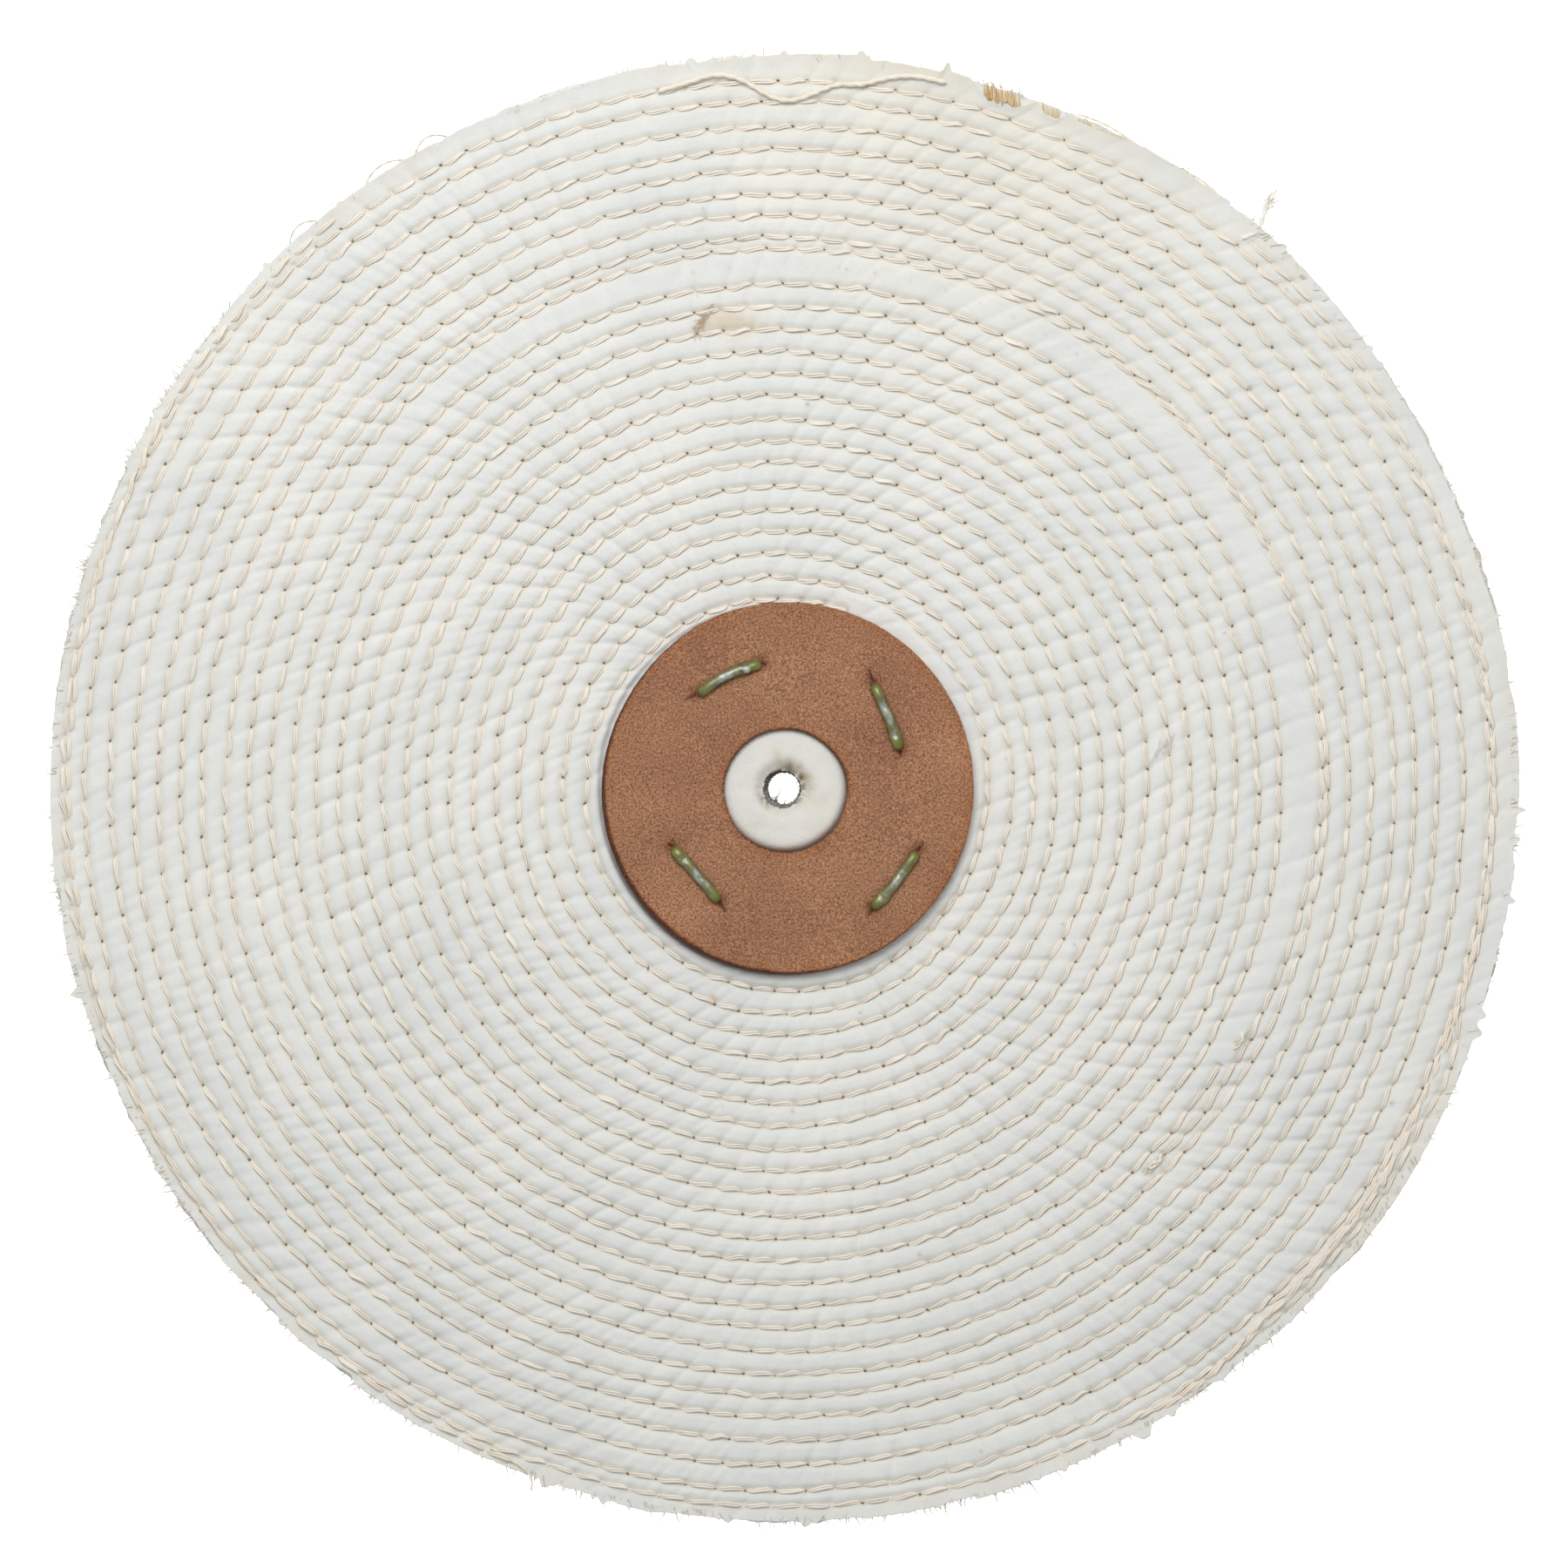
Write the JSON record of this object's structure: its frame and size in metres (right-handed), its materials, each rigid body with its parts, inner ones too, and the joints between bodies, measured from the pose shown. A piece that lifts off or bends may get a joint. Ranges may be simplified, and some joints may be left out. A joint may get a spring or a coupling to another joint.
{
  "type": "cotton buffing wheel",
  "caption": "Round stitched cotton buffing wheel: stacked cloth plies sewn in close spiral rows, with stapled leather washers round a small spindle hole.",
  "frame": {"origin": "centre of the spindle hole, half way through the cloth", "axes": "+Z along the spindle hole, out of the front face; +Y towards the top of the face as seen from the front"},
  "size_m": [0.203, 0.203, 0.0194],
  "materials": {
    "cloth": "off-white cotton twill, cut edges frayed",
    "leather": "mid-brown vegetable-tanned leather, fine suede-like grain, burnished rim",
    "staple_wire": "steel wire with a thin olive-green coat, satin",
    "thread": "cream cotton sewing thread"
  },
  "bodies": {
    "root": {"cloth_ply_01": "cloth", "cloth_ply_02": "cloth", "cloth_ply_03": "cloth", "cloth_ply_04": "cloth", "cloth_ply_05": "cloth", "cloth_ply_06": "cloth", "cloth_ply_07": "cloth", "cloth_ply_08": "cloth", "cloth_ply_09": "cloth", "cloth_ply_10": "cloth", "cloth_ply_11": "cloth", "cloth_ply_12": "cloth", "cloth_ply_13": "cloth", "cloth_ply_14": "cloth", "cloth_ply_15": "cloth", "cloth_ply_16": "cloth", "cloth_ply_17": "cloth", "cloth_ply_18": "cloth", "cloth_ply_19": "cloth", "cloth_ply_20": "cloth", "cloth_ply_21": "cloth", "cloth_ply_22": "cloth", "cloth_ply_23": "cloth", "cloth_ply_24": "cloth", "cloth_ply_25": "cloth", "cloth_ply_26": "cloth", "cloth_ply_27": "cloth", "cloth_ply_28": "cloth", "cloth_ply_29": "cloth", "cloth_ply_30": "cloth", "cloth_ply_31": "cloth", "cloth_ply_32": "cloth", "cloth_ply_33": "cloth", "cloth_ply_34": "cloth", "cloth_ply_35": "cloth", "cloth_ply_36": "cloth", "cloth_ply_37": "cloth", "cloth_ply_38": "cloth", "cloth_ply_39": "cloth", "cloth_ply_40": "cloth", "leather_washer_front": "leather", "leather_washer_back": "leather", "staple_top_left": "staple_wire", "staple_top_right": "staple_wire", "staple_bottom_left": "staple_wire", "staple_bottom_right": "staple_wire", "needle_thread_inner": "thread", "needle_thread_outer": "thread", "bobbin_thread_inner": "thread", "bobbin_thread_outer": "thread", "loose_thread": "thread"}
  },
  "joints": []
}
